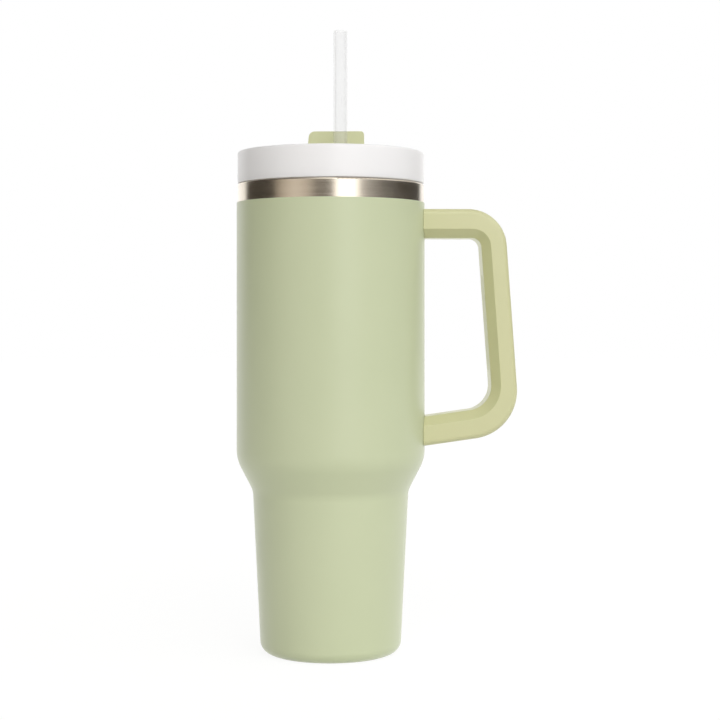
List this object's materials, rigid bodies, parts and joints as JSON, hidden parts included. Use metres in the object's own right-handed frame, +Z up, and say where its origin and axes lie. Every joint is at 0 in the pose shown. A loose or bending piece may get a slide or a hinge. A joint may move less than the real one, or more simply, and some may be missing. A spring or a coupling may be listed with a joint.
{
  "type": "insulated travel mug",
  "caption": "Tall insulated steel mug with a side handle, a narrow foot for a cup holder, a screw lid with a rotating cover, and a clear straw.",
  "frame": {"origin": "centre of the base, on the surface the mug stands on", "axes": "+Z up along the mug's axis, +X from the axis to the handle"},
  "size_m": [0.1456, 0.098, 0.3193],
  "materials": {
    "body_coat": "satin powder coat, pale sage",
    "bare_steel": "brushed round the axis",
    "foil": "bright foil",
    "bead_glass": "fused bead",
    "getter": "sintered pill",
    "handle_coat": "satin, pale yellow-sage",
    "grip_soft": "soft-touch",
    "lid_white": "satin white",
    "silicone": "translucent silicone",
    "cover_sage": "satin, pale sage",
    "straw_clear": "clear, slightly milky"
  },
  "bodies": {
    "vessel": {"outer_shell": "body_coat", "mouth_band": "bare_steel", "inner_liner": "bare_steel", "insulation_foil": "foil", "vacuum_plate": "bare_steel", "seal_bead": "bead_glass", "getter": "getter", "base_cover": "bare_steel", "handle_bracket_upper": "bare_steel", "handle_bracket_lower": "bare_steel", "handle_shell": "handle_coat", "grip_pad": "grip_soft", "handle_screws": "bare_steel", "handle_plugs": "handle_coat"},
    "gasket": {"lid_gasket": "silicone"},
    "lid": {"lid_body": "lid_white", "straw_grommet": "silicone", "port_seal": "silicone", "pivot_seal": "silicone"},
    "cover": {"rotating_cover": "cover_sage", "cover_retainer": "lid_white"},
    "straw": {"straw": "straw_clear"}
  },
  "joints": [
    {"name": "lid_rise", "type": "slide", "parent": "vessel", "child": "gasket", "axis": [0, 0, 1], "range_m": [0, 0.01576]},
    {"name": "lid_turn", "type": "hinge", "parent": "gasket", "child": "lid", "pos_m": [0, 0, 0.2436], "axis": [0, 0, 1], "range_deg": [0, 630]},
    {"name": "cover_turn", "type": "hinge", "parent": "lid", "child": "cover", "pos_m": [0, 0, 0.2554], "axis": [0, 0, 1], "range_deg": [0, 60]},
    {"name": "straw_slide", "type": "slide", "parent": "lid", "child": "straw", "axis": [0, 0, 1], "range_m": [-0.003, 0.04]}
  ],
  "couplings": [
    {"joint": "lid_rise", "follows": "lid_turn", "m_per_rad": 0.0014324}
  ]
}
